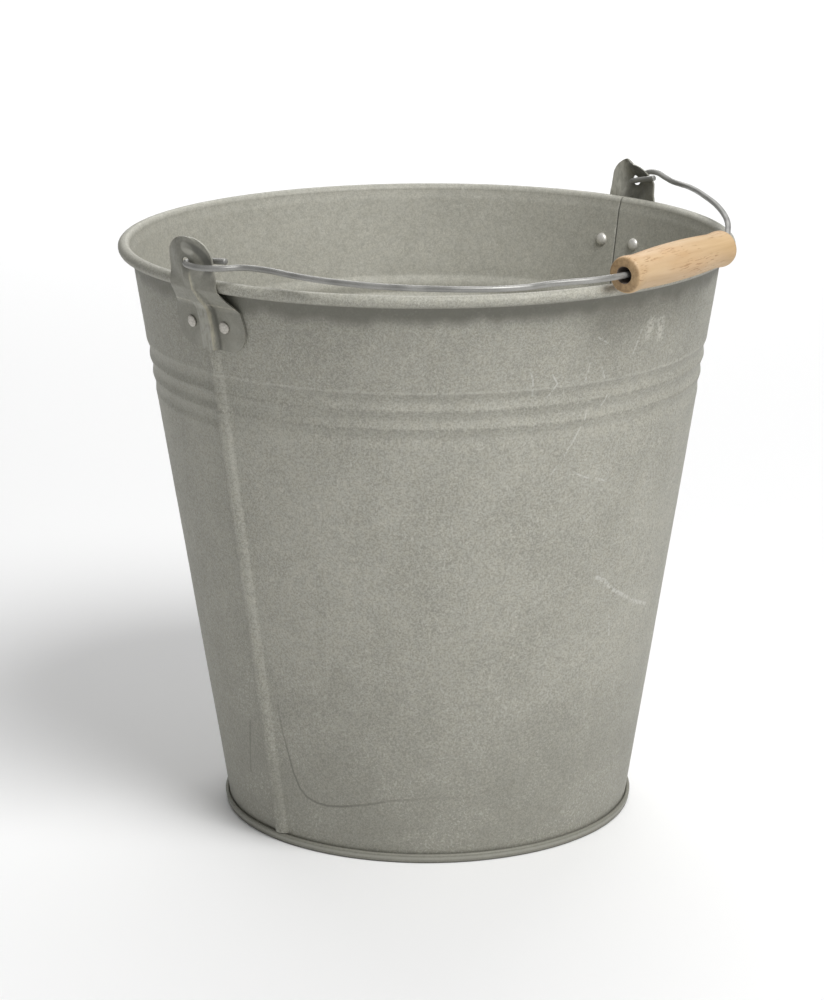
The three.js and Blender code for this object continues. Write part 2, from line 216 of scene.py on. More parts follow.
def turned(outline, segments, wobble):
    """A body turned from an open outline whose two ends lie on the axis."""
    inner = outline[1:-1]
    points, faces = lattice(lathe(inner, segments, wobble), wrap_rows=True)
    across = len(inner)
    for end, column in ((outline[0], 0), (outline[-1], across - 1)):
        centre = len(points)
        points.append((0, 0, end[1]))
        for i in range(segments):
            k = (i + 1) % segments
            pair = (i * across + column, k * across + column)
            faces.append((*(pair if column else pair[::-1]), centre))
    return points, faces


def filleted(line, radius, steps=5):
    """A polyline with each inner corner rounded."""
    out = [line[0]]
    for before, here, after in zip(line, line[1:], line[2:]):
        a, b, c = Vector(before), Vector(here), Vector(after)
        cut = min(radius, (b - a).length * 0.45, (c - b).length * 0.45)
        start = b + (a - b).normalized() * cut
        stop = b + (c - b).normalized() * cut
        for i in range(steps + 1):
            t = i / steps
            out.append(tuple(start.lerp(b, t).lerp(b.lerp(stop, t), t)))
    out.append(line[-1])
    return out


def strip(line, thickness):
    """The two sides of a sheet of that thickness along a centre line."""
    left, right = [], []
    for i, here in enumerate(line):
        before = Vector(line[max(i - 1, 0)])
        after = Vector(line[min(i + 1, len(line) - 1)])
        along = (after - before).normalized()
        side = Vector((-along.y, along.x)) * thickness / 2
        left.append(tuple(Vector(here) + side))
        right.append(tuple(Vector(here) - side))
    return left, right


# ---------------------------------------------------------------- wall halves
def bead(z):
    """How far the sheet stands out at a height: rounded grooves with narrow crests between."""
    low, high = BEAD_LOW, BEAD_LOW + BEADS * BEAD_PITCH
    if z < low:
        return BEAD_CREST * smooth(z, low - 4, low)
    if z > high:
        return BEAD_CREST * (1 - smooth(z, high, high + 6))
    groove = abs(math.sin(math.pi * (z - low) / BEAD_PITCH)) ** 1.4
    depth = BEAD_DEPTH * (0.7 if z < low + BEAD_PITCH else 1.0)
    return BEAD_CREST - (depth + BEAD_CREST) * groove


def wall_line():
    """Centre line of the wall sheet, as (radius, height), from the foot to the curl's end."""
    heights = [0.9, 3.0, SEAM_BOTTOM, SEAM_BOTTOM + 0.02]
    heights += climb(10.0, 222.0, 6.0)
    heights += climb(222.5, 262.5, 0.475)
    heights += [265, 270, 275, 280, 285, SEAM_TOP, SEAM_TOP + 0.02, 292, 295, 297.5, 299.5]
    line = [(wall_radius(z) - SHEET / 2 + bead(z), z) for z in heights]
    radius = CURL_RADIUS - SHEET / 2
    centre_r, centre_z = RIM_RADIUS - CURL_RADIUS, HEIGHT - CURL_RADIUS
    for i in range(CURL_STEPS + 1):
        angle = math.radians(lerp(183, CURL_END, i / CURL_STEPS))
        line.append((centre_r + radius * math.cos(angle), centre_z + radius * math.sin(angle)))
    return line


# Section across a wall half's start, where it covers its neighbour's end: side, and height
# above the sheet's centre line. Side runs counter-clockwise from the seam's centre line.
# COVER is the outer surface and LAP is the inner one, back to the joint.
COVER = [
    (-2.2, 0.62), (-2.25, 1.2), (-2.2, 2.3), (-2.0, 2.56), (-1.6, 2.66), (-0.6, 2.7),
    (0.6, 2.68), (1.4, 2.6), (1.62, 2.3), (1.85, 2.42), (2.4, 2.3), (3.2, 1.85),
    (4.0, 1.2), (4.7, 0.65), (5.3, 0.36), (6.0, 0.26), (6.8, 0.25),
]
COVER_END = 6.8
LAP = [(6.8, -0.25), (3.6, -0.25), (3.0, -0.22), (2.7, -0.08), (2.52, 0.2), (2.45, 0.62)]
LAP_START = 3.4


def wall_half(name, start, material):
    """Half of the wall, from the angle where it covers the other half's end."""
    line = wall_line()
    end = start + math.pi
    rows = []
    for i, (r, z) in enumerate(line):
        before = Vector(line[max(i - 1, 0)])
        after = Vector(line[min(i + 1, len(line) - 1)])
        along = (after - before).normalized()
        out = Vector((along.y, -along.x))
        height = z if i < len(line) - CURL_STEPS - 1 else HEIGHT
        seam = SEAM_BOTTOM < height < SEAM_TOP + 0.01
        free = smooth(height, 6, 40) * (1 - smooth(height, 262, 300))
        row = []

        def put(angle, offset):
            dent = 0.0
            if free:
                x, y = math.cos(angle) * 2.2, math.sin(angle) * 2.2
                dent = DENT * free * wander(1, x, y, z / 70)
            reach = r + out.x * offset + dent + RIPPLE * wander(2, angle * 14, z / 9)
            row.append((reach * math.cos(angle), reach * math.sin(angle), z + out.y * offset))

        def beside_start(side):
            if seam and abs(side) < 6:
                side += SEAM_WAVER * wander(3, z / 11, start)
            return start + side / r

        for side, offset in COVER:
            if seam:
                lumps = SEAM_LUMPS * wander(4, z / 4, side) if offset > 1 else 0.0
                put(beside_start(side), offset + lumps)
            else:
                flat = max(side, SEAM_JOINT + 0.01 * (side + 3))
                put(beside_start(flat), SHEET / 2 * smooth(side, -2.2, -1))
        first, last = start + COVER_END / r, end - LAP_START / r
        share = [j / WALL_COLUMNS for j in range(1, WALL_COLUMNS)]
        for t in share:
            put(lerp(first, last, t), SHEET / 2)
        for side, offset in (
            (-LAP_START, SHEET / 2),
            (TUCK, SHEET / 2),
            (TUCK, -SHEET / 2),
            (-LAP_START, -SHEET / 2),
        ):
            put(end + side / r, offset)
        for t in reversed(share):
            put(lerp(first, last, t), -SHEET / 2)
        for side, offset in LAP:
            put(beside_start(side), offset if seam else min(offset, 0.0))
        rows.append(row)
    points, faces = lattice(rows, wrap_columns=True)
    across = len(rows[0])
    faces.append(tuple(range(across))[::-1])
    faces.append(tuple(range(len(points) - across, len(points))))
    return piece(name, points, faces, material, "bucket", 34)


# ---------------------------------------------------------------- foot
def bottom(material):
    """The pressed bottom, whose edge is folded round the wall's foot as a double seam."""
    def layer(n, z):
        return (wall_radius(z) + n * (SHEET + GAP) - SHEET / 2, z)

    high = PANEL_HEIGHT + SHEET / 2
    line = [
        (0.0, high - PANEL_SUNK),
        (20.0, high - PANEL_SUNK),
        (50.0, high - PANEL_SUNK),
        (PANEL_RADIUS, high - PANEL_SUNK),
        (PANEL_RADIUS + 5, high),
        layer(-1, high),
        layer(-1, SHEET / 2),
        layer(2.9, SHEET / 2),
        layer(2.9, CHIME_HEIGHT - SHEET / 2),
        layer(1, CHIME_HEIGHT - SHEET / 2),
        layer(1, 2.0),
    ]
    upper, lower = strip(filleted(line, FOLD_RADIUS), SHEET)
    outline = [(0.0, lower[0][1]), *lower[1:], *upper[:0:-1], (0.0, upper[0][1])]

    def wobble(angle, r, z):
        ring = smooth(r, 103, 109)
        return r + 0.1 * ring * wander(5, angle * 9, z / 3), z

    points, faces = turned(outline, FOOT_SEGMENTS, wobble)
    return piece("bottom_disc", points, faces, material, "bucket", 50)


# ---------------------------------------------------------------- ears
def ear_step(z):
    """From 0 on the wall to 1 on the upright tab, with both corners of the step rounded."""
    t = (z - STEP_LOW) / (STEP_HIGH - STEP_LOW)
    soft = 0.07
    rise = math.hypot(t, soft) - math.hypot(t - 1, soft)
    flat = math.hypot(1, soft) - soft
    return min(max((rise / flat + 1) / 2, 0.0), 1.0)


def ear_half_width(z):
    if z > CROWN_HEIGHT:
        rise = min((z - CROWN_HEIGHT) / (EAR_TOP - CROWN_HEIGHT), 1.0)
        return CROWN_HALF_WIDTH * math.sqrt(1 - rise * rise)
    if z > STEP_HIGH:
        rise = (z - STEP_HIGH) / (CROWN_HEIGHT - STEP_HIGH)
        return lerp(NECK_HALF_WIDTH, CROWN_HALF_WIDTH, rise)
    plate = EAR_HALF_WIDTH - WAIST * smooth(z, EAR_BOTTOM + EAR_CORNER, STEP_HIGH)
    if z > STEP_LOW:
        return lerp(plate, NECK_HALF_WIDTH, ear_step(z))
    if z > EAR_BOTTOM + EAR_CORNER:
        return plate
    drop = 1 - (z - EAR_BOTTOM) / EAR_CORNER
    return EAR_HALF_WIDTH - EAR_CORNER + EAR_CORNER * math.sqrt(max(1 - drop * drop, 0))


def ear_base(z):
    tab = TAB_RADIUS + TAB_LEAN * (z - STEP_HIGH)
    return lerp(wall_radius(z) + GAP, tab, ear_step(z))


def rib_centre(z):
    return lerp(1.2, -0.8, smooth(z, 282, 296))


def rib_widths(z):
    """Half widths of the rib's flat top and of its foot."""
    flat_top = lerp(3.8, 2.4, smooth(z, 289, 304))
    return flat_top, flat_top + 1.2


def ear_relief(side, z, dish):
    """How far the stamping stands out of the plain sheet. The inside is dished more deeply."""
    step = ear_step(z)
    height = lerp(RIB_HEIGHT, 1.5, step) * (1 - smooth(z, 304, 313))
    flat_top, foot = rib_widths(z)
    rib = height * smooth(-abs(side - rib_centre(z)), -foot, -flat_top)
    reach = math.hypot(side, z - HOLE_HEIGHT)
    boss = (BOSS_HEIGHT + dish) * (1 - smooth(reach, 4.0, 12.5))
    edge = smooth(abs(side) / max(ear_half_width(z), 1), 0.55, 1.0)
    lip = -LIP * edge * smooth(z, 303.5, 309)
    return rib + boss + lip


def ear_heights():
    """Heights of the rows, closer together round the lower corners and the crown."""
    quarter = math.pi / 2
    heights = []
    for i in range(EAR_ROUND_STEPS):
        rise = 1 - math.cos(quarter * i / EAR_ROUND_STEPS)
        heights.append(EAR_BOTTOM + EAR_CORNER * rise)
    heights += climb(EAR_BOTTOM + EAR_CORNER, CROWN_HEIGHT - 0.4, EAR_ROW)
    for i in range(EAR_ROUND_STEPS + 1):
        rise = math.sin(quarter * min(i / EAR_ROUND_STEPS, 0.985))
        heights.append(CROWN_HEIGHT + (EAR_TOP - CROWN_HEIGHT) * rise)
    return heights


def ear_surface(side_sign, heights, outward, dish):
    """One face of an ear, that far out from its inner line. The right ear is knocked about."""
    turn = math.pi if side_sign < 0 else 0.0
    rows = []
    for z in heights:
        half = ear_half_width(z)
        row = []
        for j in range(EAR_COLUMNS + 1):
            side = half * (2 * j / EAR_COLUMNS - 1)
            radius = ear_base(z) + ear_relief(side, z, dish) + outward
            radius += EAR_RIPPLE * wander(6, side / 6, z / 6)
            angle = side / ear_base(z) + turn
            drop = 0.0
            if side_sign > 0:
                corner = smooth(-side, -8, 1.5)
                drop = BENT_DOWN * corner * smooth(z, 310, EAR_TOP)
                radius -= BENT_IN * corner * smooth(z, 313, EAR_TOP - 2)
                pinch = PINCH * smooth(z, 303, 311) if side > 0 else 0.0
                angle = turn + side * (1 - pinch) / ear_base(z)
            row.append((radius * math.cos(angle), radius * math.sin(angle), z - drop))
        rows.append(row)
    return lattice(rows)


def ear(name, side_sign, material):
    heights = ear_heights()
    inner, inner_faces = ear_surface(side_sign, heights, 0.0, DISH)
    outer, outer_faces = ear_surface(side_sign, heights, EAR_SHEET, 0.0)
    shift = len(inner)
    faces = [f[::-1] for f in inner_faces]
    faces += [tuple(i + shift for i in f) for f in outer_faces]
    across = EAR_COLUMNS + 1
    last = len(heights) - 1

    def rim(a, b):
        faces.append((a, b, b + shift, a + shift))

    for j in range(EAR_COLUMNS):
        rim(j, j + 1)
        rim(last * across + j + 1, last * across + j)
    for i in range(last):
        rim((i + 1) * across, i * across)
        rim(i * across + EAR_COLUMNS, (i + 1) * across + EAR_COLUMNS)
    thing = piece(name, [*inner, *outer], faces, material, "bucket", 40)
    drill_and_round(thing, side_sign)
    return thing


def ear_drill(side_sign):
    """A rod through the place of the ear's hole."""
    mesh = bpy.data.meshes.new("drill")
    ring = []
    for x in DRILL_ENDS:
        for i in range(DRILL_SPOKES):
            a = 2 * math.pi * i / DRILL_SPOKES
            y, z = HOLE_RADIUS * math.cos(a), HOLE_HEIGHT + HOLE_RADIUS * math.sin(a)
            ring.append((side_sign * x * MM, y * MM, z * MM))
    faces = []
    for i in range(DRILL_SPOKES):
        k = (i + 1) % DRILL_SPOKES
        faces.append((i, k, k + DRILL_SPOKES, i + DRILL_SPOKES))
    faces.append(tuple(range(DRILL_SPOKES))[::-1])
    faces.append(tuple(range(DRILL_SPOKES, 2 * DRILL_SPOKES)))
    mesh.from_pydata(ring, [], faces)
    drill = bpy.data.objects.new("drill", mesh)
    bpy.context.scene.collection.objects.link(drill)
    return drill


def drill_and_round(thing, side_sign):
    """Cuts the ear's hole and rounds every sharp edge a little."""
    drill = ear_drill(side_sign)
    for mesh in (thing.data, drill.data):
        outward_normals(mesh)
    cut = thing.modifiers.new("hole", "BOOLEAN")
    cut.operation = "DIFFERENCE"
    cut.solver = "EXACT"
    cut.object = drill
    edge = thing.modifiers.new("edge", "BEVEL")
    edge.width = EAR_EDGE * MM
    edge.segments = 2
    edge.limit_method = "ANGLE"
    edge.angle_limit = math.radians(55)
    apply_modifiers(thing)
    bpy.data.objects.remove(drill)
    thing.data.shade_smooth()
    thing.data.set_sharp_from_angle(angle=math.radians(42))


def outward_normals(mesh):
    work = bmesh.new()
    work.from_mesh(mesh)
    bmesh.ops.recalc_face_normals(work, faces=work.faces)
    work.to_mesh(mesh)
    work.free()


def apply_modifiers(thing):
    bpy.context.view_layer.update()
    graph = bpy.context.evaluated_depsgraph_get()
    made = bpy.data.meshes.new_from_object(thing.evaluated_get(graph))
    thing.modifiers.clear()
    thing.data = made


# ---------------------------------------------------------------- rivets
def rivet(name, side_sign, flank, material, seed):
    """A rivet along its own Z: a dome inside the bucket and a hammered head outside."""
    radius = wall_radius(RIVET_HEIGHT)
    angle = flank * RIVET_SIDE / radius + (math.pi if side_sign < 0 else 0)
    place = (
        Matrix.Rotation(angle, 4, "Z")
        @ Matrix.Translation((radius * MM, 0, RIVET_HEIGHT * MM))
        @ Matrix.Rotation(math.pi / 2 + math.atan(SLOPE), 4, "Y")
    )
    out = EAR_SHEET + GAP
    inside = -SHEET - 0.1
    outline = [(0, inside - 2.25)]
    for i in range(1, DOME_STEPS + 1):
        a = math.pi / 2 * i / DOME_STEPS
        outline.append((3.35 * math.sin(a), inside - 0.35 - 1.9 * math.cos(a)))
    outline += [(3.3, inside - 0.1), (3.1, inside), (1.9, inside), (1.9, out), (2.9, out)]
    outline += [(3.05, out + 0.15), (3.08, out + 0.5), (2.95, out + 0.78), (2.6, out + 0.95)]
    outline += [(1.6, out + 1.04), (0.8, out + 1.06), (0, out + 1.07)]

    def wobble(a, r, z):
        x, y = r * math.cos(a), r * math.sin(a)
        uneven = 1 + 0.04 * wander(seed, math.cos(a), math.sin(a))
        blows = (0.16 if z > 0 else 0.05) * wander(seed + 3, x / 1.6, y / 1.6)
        return r * uneven, z + blows

    points, faces = turned(outline, RIVET_SEGMENTS, wobble)
    return piece(name, points, faces, material, "bucket", 40, place)


# ---------------------------------------------------------------- bail
def bail_point(x, out, up=0.0):
    return Vector((x, -out, HOLE_HEIGHT - out * math.tan(REST_TILT) + up))


def centripetal(points, steps):
    """A centripetal Catmull-Rom curve through the points."""
    line = []
    ends = [2 * points[0] - points[1], *points, 2 * points[-1] - points[-2]]
    for i in range(1, len(ends) - 2):
        p0, p1, p2, p3 = ends[i - 1 : i + 3]
        d0 = (p1 - p0).length ** 0.5
        d1 = (p2 - p1).length ** 0.5
        d2 = (p3 - p2).length ** 0.5
        t1 = ((p1 - p0) / d0 - (p2 - p0) / (d0 + d1) + (p2 - p1) / d1) * d1
        t2 = ((p2 - p1) / d1 - (p3 - p1) / (d1 + d2) + (p3 - p2) / d2) * d1
        for k in range(steps):
            t = k / steps
            cubic = 2 * p1 - 2 * p2 + t1 + t2
            square = -3 * p1 + 3 * p2 - 2 * t1 - t2
            line.append(p1 + t1 * t + square * t**2 + cubic * t**3)
    line.append(points[-1])
    return line


def bail(material):
    """A round wire along the bail's points, with rounded ends."""
    line = centripetal([bail_point(*p) for p in BAIL_POINTS], WIRE_STEPS)
    frames = []
    side = Vector((0, 0, 1))
    for i, here in enumerate(line):
        along = (line[min(i + 1, len(line) - 1)] - line[max(i - 1, 0)]).normalized()
        side = (side - side.dot(along) * along).normalized()
        frames.append((here, side, along.cross(side), along))
    rings = []
    rounding = [(0.0, 0.35), (0.12, 0.8), (0.35, 1.0)]
    for depth, share in rounding:
        here, side, other, along = frames[0]
        rings.append((here + along * depth, side, other, WIRE_RADIUS * share))
    for here, side, other, along in frames[1:-1]:
        rings.append((here, side, other, WIRE_RADIUS))
    for depth, share in reversed(rounding):
        here, side, other, along = frames[-1]
        rings.append((here - along * depth, side, other, WIRE_RADIUS * share))
    rows = []
    for here, side, other, radius in rings:
        row = []
        for j in range(WIRE_SEGMENTS):
            a = 2 * math.pi * j / WIRE_SEGMENTS
            row.append(tuple(here + (side * math.cos(a) + other * math.sin(a)) * radius))
        rows.append(row)
    points, faces = lattice(rows, wrap_columns=True)
    faces.append(tuple(range(WIRE_SEGMENTS))[::-1])
    faces.append(tuple(range(len(points) - WIRE_SEGMENTS, len(points))))
    return piece("bail_wire", points, faces, material, "bail", 50)


def grip(material):
    """The turned grip, made along its own Z and laid between the bail's two grip points."""
    half = GRIP_LENGTH / 2
    profile = [
        (4.0, half - 12), (4.0, half - 0.5), (4.25, half), (7.2, half), (8.1, half - 0.25),
        (8.7, half - 0.9), (9.0, half - 2.0), (9.05, half - 3.4), (8.95, half - 5.2),
        (8.75, half - 7.4), (8.6, half - 9.6), (8.62, half - 12), (8.8, half - 15),
        (9.05, half - 20), (9.3, half - 26), (9.5, half - 33),
    ]
    outer = profile + [(9.58, 0.0)] + [(r, -z) for r, z in reversed(profile)]

    def wobble(angle, r, z):
        grain = GRIP_GRAIN * wander(8, math.cos(angle) * 2, math.sin(angle) * 2)
        return r + grain * smooth(r, 5, 8), z

    rows = lathe(outer, GRIP_SEGMENTS, wobble)
    points, faces = lattice(rows, wrap_rows=True, wrap_columns=True)
    start, stop = bail_point(*GRIP_START), bail_point(*GRIP_STOP)
    spin = Vector((0, 0, 1)).rotation_difference((stop - start).normalized())
    place = Matrix.Translation((start + stop) / 2 * MM) @ spin.to_matrix().to_4x4()
    return piece("wooden_grip", points, faces, material, "grip", 50, place)


# ---------------------------------------------------------------- materials
class Graph:
    """Short ways to add nodes to one material."""

    def __init__(self, name):
        self.material = bpy.data.materials.new(name)
        self.material.use_nodes = True
        self.tree = self.material.node_tree
        self.shader = self.tree.nodes["Principled BSDF"]
        coordinates = self.tree.nodes.new("ShaderNodeTexCoord")
        self.place = coordinates.outputs["Object"]
        self.facing = coordinates.outputs["Normal"]

    def link(self, value, socket):
        if hasattr(value, "links"):
            self.tree.links.new(value, socket)
        else:
            socket.default_value = value

    def math(self, operation, a, b=0.0, clamp=False):
        node = self.tree.nodes.new("ShaderNodeMath")
        node.operation = operation
        node.use_clamp = clamp
        self.link(a, node.inputs[0])
        self.link(b, node.inputs[1])
        return node.outputs[0]

    def vector(self, operation, a, b=(0, 0, 0), scale=None):
        node = self.tree.nodes.new("ShaderNodeVectorMath")
        node.operation = operation
        self.link(a, node.inputs[0])
        if operation not in ("LENGTH", "SCALE"):
            self.link(b, node.inputs[1])
        if scale is not None:
            self.link(scale, node.inputs["Scale"])
        return node.outputs["Value" if operation in ("LENGTH", "DOT_PRODUCT") else "Vector"]

    def times(self, *shares):
        """The product of two or more shares."""
        total = shares[0]
        for share in shares[1:]:
            total = self.math("MULTIPLY", total, share)
        return total

    def noise(self, scale, detail=2.0, rough=0.5, warp=0.0, stretch=None):
        place = self.place
        if stretch:
            place = self.vector("MULTIPLY", place, stretch)
        node = self.tree.nodes.new("ShaderNodeTexNoise")
        self.link(place, node.inputs["Vector"])
        node.inputs["Scale"].default_value = scale
        node.inputs["Detail"].default_value = detail
        node.inputs["Roughness"].default_value = rough
        node.inputs["Distortion"].default_value = warp
        return node.outputs["Fac"]

    def cells(self, scale):
        """Distance from the middle of the nearest cell."""
        node = self.tree.nodes.new("ShaderNodeTexVoronoi")
        self.link(self.place, node.inputs["Vector"])
        node.inputs["Scale"].default_value = scale
        return node.outputs["Distance"]

    def span(self, value, low, high, out_low=0.0, out_high=1.0):
        node = self.tree.nodes.new("ShaderNodeMapRange")
        node.interpolation_type = "SMOOTHSTEP"
        for socket, number in zip(node.inputs, (value, low, high, out_low, out_high)):
            self.link(number, socket)
        return node.outputs[0]

    def rise(self, value, low, high):
        """From 0 at low to 1 at high, both in millimetres."""
        return self.span(value, low * MM, high * MM)

    def fall(self, value, low, high):
        """From 1 at low to 0 at high, both in millimetres."""
        return self.span(value, low * MM, high * MM, 1.0, 0.0)

    def near(self, value, place, full, faint):
        """1 up to full millimetres from a place in metres, and 0 beyond faint millimetres."""
        gap = self.math("ABSOLUTE", self.math("SUBTRACT", value, place))
        return self.fall(gap, full, faint)

    def mix(self, share, a, b):
        node = self.tree.nodes.new("ShaderNodeMix")
        node.data_type = "RGBA"
        self.link(share, node.inputs[0])
        self.link(a, node.inputs[6])
        self.link(b, node.inputs[7])
        return node.outputs[2]

    def tint(self, colour, paint, *shares):
        """The colour with a paint laid over it, as thick as the product of the shares."""
        return self.mix(self.times(*shares), colour, paint)

    def axes(self):
        node = self.tree.nodes.new("ShaderNodeSeparateXYZ")
        self.link(self.place, node.inputs[0])
        return node.outputs

    def outward(self, low, high):
        """0 on a sheet's inner face and 1 on its outer face, by which way it looks."""
        x, y, z = self.axes()
        facing = self.vector("DOT_PRODUCT", self.facing, self.join(x, y, 0.0))
        return self.span(facing, low, high)

    def join(self, x, y, z):
        node = self.tree.nodes.new("ShaderNodeCombineXYZ")
        for socket, value in zip(node.inputs, (x, y, z)):
            self.link(value, socket)
        return node.outputs[0]

    def bump(self, height, distance, strength=1.0, under=None):
        node = self.tree.nodes.new("ShaderNodeBump")
        node.inputs["Strength"].default_value = strength
        node.inputs["Distance"].default_value = distance
        self.link(height, node.inputs["Height"])
        if under:
            self.link(under, node.inputs["Normal"])
        return node.outputs[0]

    def finish(self, colour, roughness, normal, metallic):
        self.link(colour, self.shader.inputs["Base Color"])
        self.link(roughness, self.shader.inputs["Roughness"])
        self.link(normal, self.shader.inputs["Normal"])
        self.shader.inputs["Metallic"].default_value = metallic
        return self.material


def tone(r, g, b):
    return (r, g, b, 1.0)


ZINC_WARM = tone(0.44, 0.428, 0.365)
ZINC_COOL = tone(0.425, 0.417, 0.362)
ZINC_DARK = tone(0.2, 0.197, 0.165)
ZINC_PALE = tone(0.64, 0.63, 0.56)
NEAR_BLACK = tone(0.06, 0.06, 0.055)
EAR_SHADE = tone(0.07, 0.07, 0.06)
RIB_DIRT_AND_SHADE = tone(0.1, 0.1, 0.085)
CROWN_SHADE = tone(0.1, 0.1, 0.088)
DRIED_DIRT = tone(0.13, 0.128, 0.108)
SCRATCH = tone(0.6, 0.6, 0.56)
RIB_HIGHLIGHT = tone(0.5, 0.47, 0.36)
FOLD_HIGHLIGHT = tone(0.5, 0.47, 0.38)


def zinc_coat(g, fine=1.0):
    """Weathered zinc: pale worm-like lines a millimetre long on soft grey clouds."""
    worms = g.noise(430, 1.0, 0.5, 1.2)
    lines = g.math("ABSOLUTE", g.math("SUBTRACT", worms, 0.5))
    lines = g.span(lines, 0.0, 0.035, 1.0, 0.0)
    grains = g.noise(1000, 1.0, 0.5, 0.8)
    clouds = g.noise(34, 3.0, 0.6, 0.4)
    drifts = g.noise(7, 2.0, 0.5)
    colour = g.mix(g.span(g.noise(210, 2.0, 0.5), 0.4, 0.6), ZINC_WARM, ZINC_COOL)
    shade = g.span(grains, 0.38, 0.6, 0.42 * fine, 0.0)
    shade = g.math("ADD", shade, g.span(clouds, 0.34, 0.64, 0.13, 0.0))
    shade = g.math("ADD", shade, g.span(drifts, 0.34, 0.64, 0.12, 0.0))
    colour = g.mix(shade, colour, ZINC_DARK)
    gathered = g.span(g.noise(60, 2.0, 0.5), 0.35, 0.62, 0.26, 0.46 * fine)
    colour = g.tint(colour, ZINC_PALE, lines, gathered)
    return colour, worms, grains, clouds


def flatten(mark):
    """A mark's place on the wall unrolled flat, in metres."""
    angle, height = mark
    return Vector((math.radians(angle) * SPREAD, height * MM, 0))


def stroke(g, flat, start, stop, width, fade=0.6):
    """One where a point of the flattened wall lies on the scratch between two marks."""
    begin, run = flatten(start), flatten(stop) - flatten(start)
    away = g.vector("SUBTRACT", flat, tuple(begin))
    along = g.vector("DOT_PRODUCT", away, tuple(run))
    share = g.math("MULTIPLY", along, 1 / run.length_squared, True)
    nearest = g.vector("SCALE", tuple(run), scale=share)
    gap = g.vector("LENGTH", g.vector("SUBTRACT", away, nearest))
    return g.fall(gap, width * (1 - fade), width)


def strokes(g, flat, line, width):
    """A scratch through all the marks of a line."""
    whole = 0.0
    for start, stop in zip(line, line[1:]):
        whole = g.math("MAXIMUM", whole, stroke(g, flat, start, stop, width))
    return whole


# Marks on the outside, as (angle in degrees, height in millimetres)
SCUFFS = [
    [(272.1, 125.7), (273.2, 114.0)],
    [(258.8, 278.5), (261.7, 274.3)],
    [(269.8, 278.5), (268.2, 266.8)],
    [(244.6, 266), (245.4, 260.7), (245.6, 252.0)],
    [(249.4, 262.2), (250.6, 257.4), (248.8, 250.4)],
    [(257.5, 265.8), (256.8, 256.5)],
    [(260.4, 263.4), (261.4, 257.0)],
    [(262.6, 247.4), (261.6, 242.6)],
    [(258.2, 241.2), (257.6, 236.5)],
    [(257.0, 232.8), (253.7, 219.4)],
    [(252.2, 214.5), (251.0, 210.4)],
    [(256.2, 209.4), (259.6, 205.6), (262.8, 203.8), (264.6, 202.0)],
    [(291.0, 184.0), (294.6, 188.5)],
    [(158.0, 161.4), (158.3, 153.7)],
]
RUB = [
    (266.1, 149.3), (269.2, 145.5), (272.1, 139.8), (276.0, 135.0), (281.5, 128.3),
    (288.7, 122.7),
]
PALE_PATCHES = [((272.4, 281.8), (271.8, 275.2)), ((275.4, 281.1), (275.7, 272.7))]
DRIP = [
    (184.9, 79.9), (185.4, 65.6), (187.5, 42.8), (189.1, 34.3), (191.1, 30.1), (193.9, 28.1),
    (197.3, 27.5), (201.7, 28.4), (209.0, 31.4), (215.1, 34.6), (224.8, 36.7), (240.0, 36.4),
]
SHORT_RUN = [(173.2, 64.7), (170.7, 44.9), (169.5, 34.1)]
SPREAD = 0.13  # metres along the unrolled wall for each radian round it


def darkened_under_rim(g, colour, clouds, outside):
    """The band above the ring grooves is darker and coarser, and darkest under the rim, where
    the rim's shadow is painted; the grip's shadow is painted under the grip too.
    """
    x, y, z = g.axes()
    band = g.times(g.rise(z, 248, 260), g.fall(z, 299, 301.5), outside)
    rough_band = g.times(band, g.span(g.noise(560, 2.0, 0.6, 1.6), 0.4, 0.6))
    colour = g.tint(colour, ZINC_DARK, rough_band, 0.2)
    # Painted shadow of the rim, fading out downwards to a ragged lower edge
    streaks = g.noise(60, 2.0, 0.5, stretch=(1, 1, 0.12))
    low_edge = g.math("ADD", g.times(streaks, 0.012), 0.2815)
    rim_shadow = g.rise(g.math("SUBTRACT", z, low_edge), 0, 8)
    colour = g.tint(colour, ZINC_DARK, rim_shadow, band)
    # Painted shadow of the grip on the wall below it
    grip_shadow = g.times(g.near(x, 0.006, 30, 75), g.fall(y, -100, -80), g.rise(z, 270, 292))
    colour = g.tint(colour, ZINC_DARK, grip_shadow, band, 0.35)
    colour = g.tint(colour, ZINC_DARK, g.span(clouds, 0.55, 0.7), band, 0.14)
    return colour, rough_band


def worn_grooves(g, colour, z, broken, outside):
    """Each ring groove's upper crest is worn to a thin line, with painted shade below it where
    the sheet faces down.
    """
    for ring in range(1, BEADS + 1):
        crest = (BEAD_LOW + ring * BEAD_PITCH) * MM
        below = g.math("SUBTRACT", crest, z)
        line = g.times(g.fall(g.math("ABSOLUTE", below), 0.3, 1.1), broken, outside)
        paint, share = (ZINC_PALE, 0.22) if ring == BEADS else (ZINC_DARK, 0.45)
        colour = g.tint(colour, paint, line, share)
        # Painted shade below each crest, where the sheet faces down
        shade = g.times(g.rise(below, 0, 1), g.fall(below, 2, 6))
        colour = g.tint(colour, ZINC_DARK, shade, outside, 0.16)
    return colour


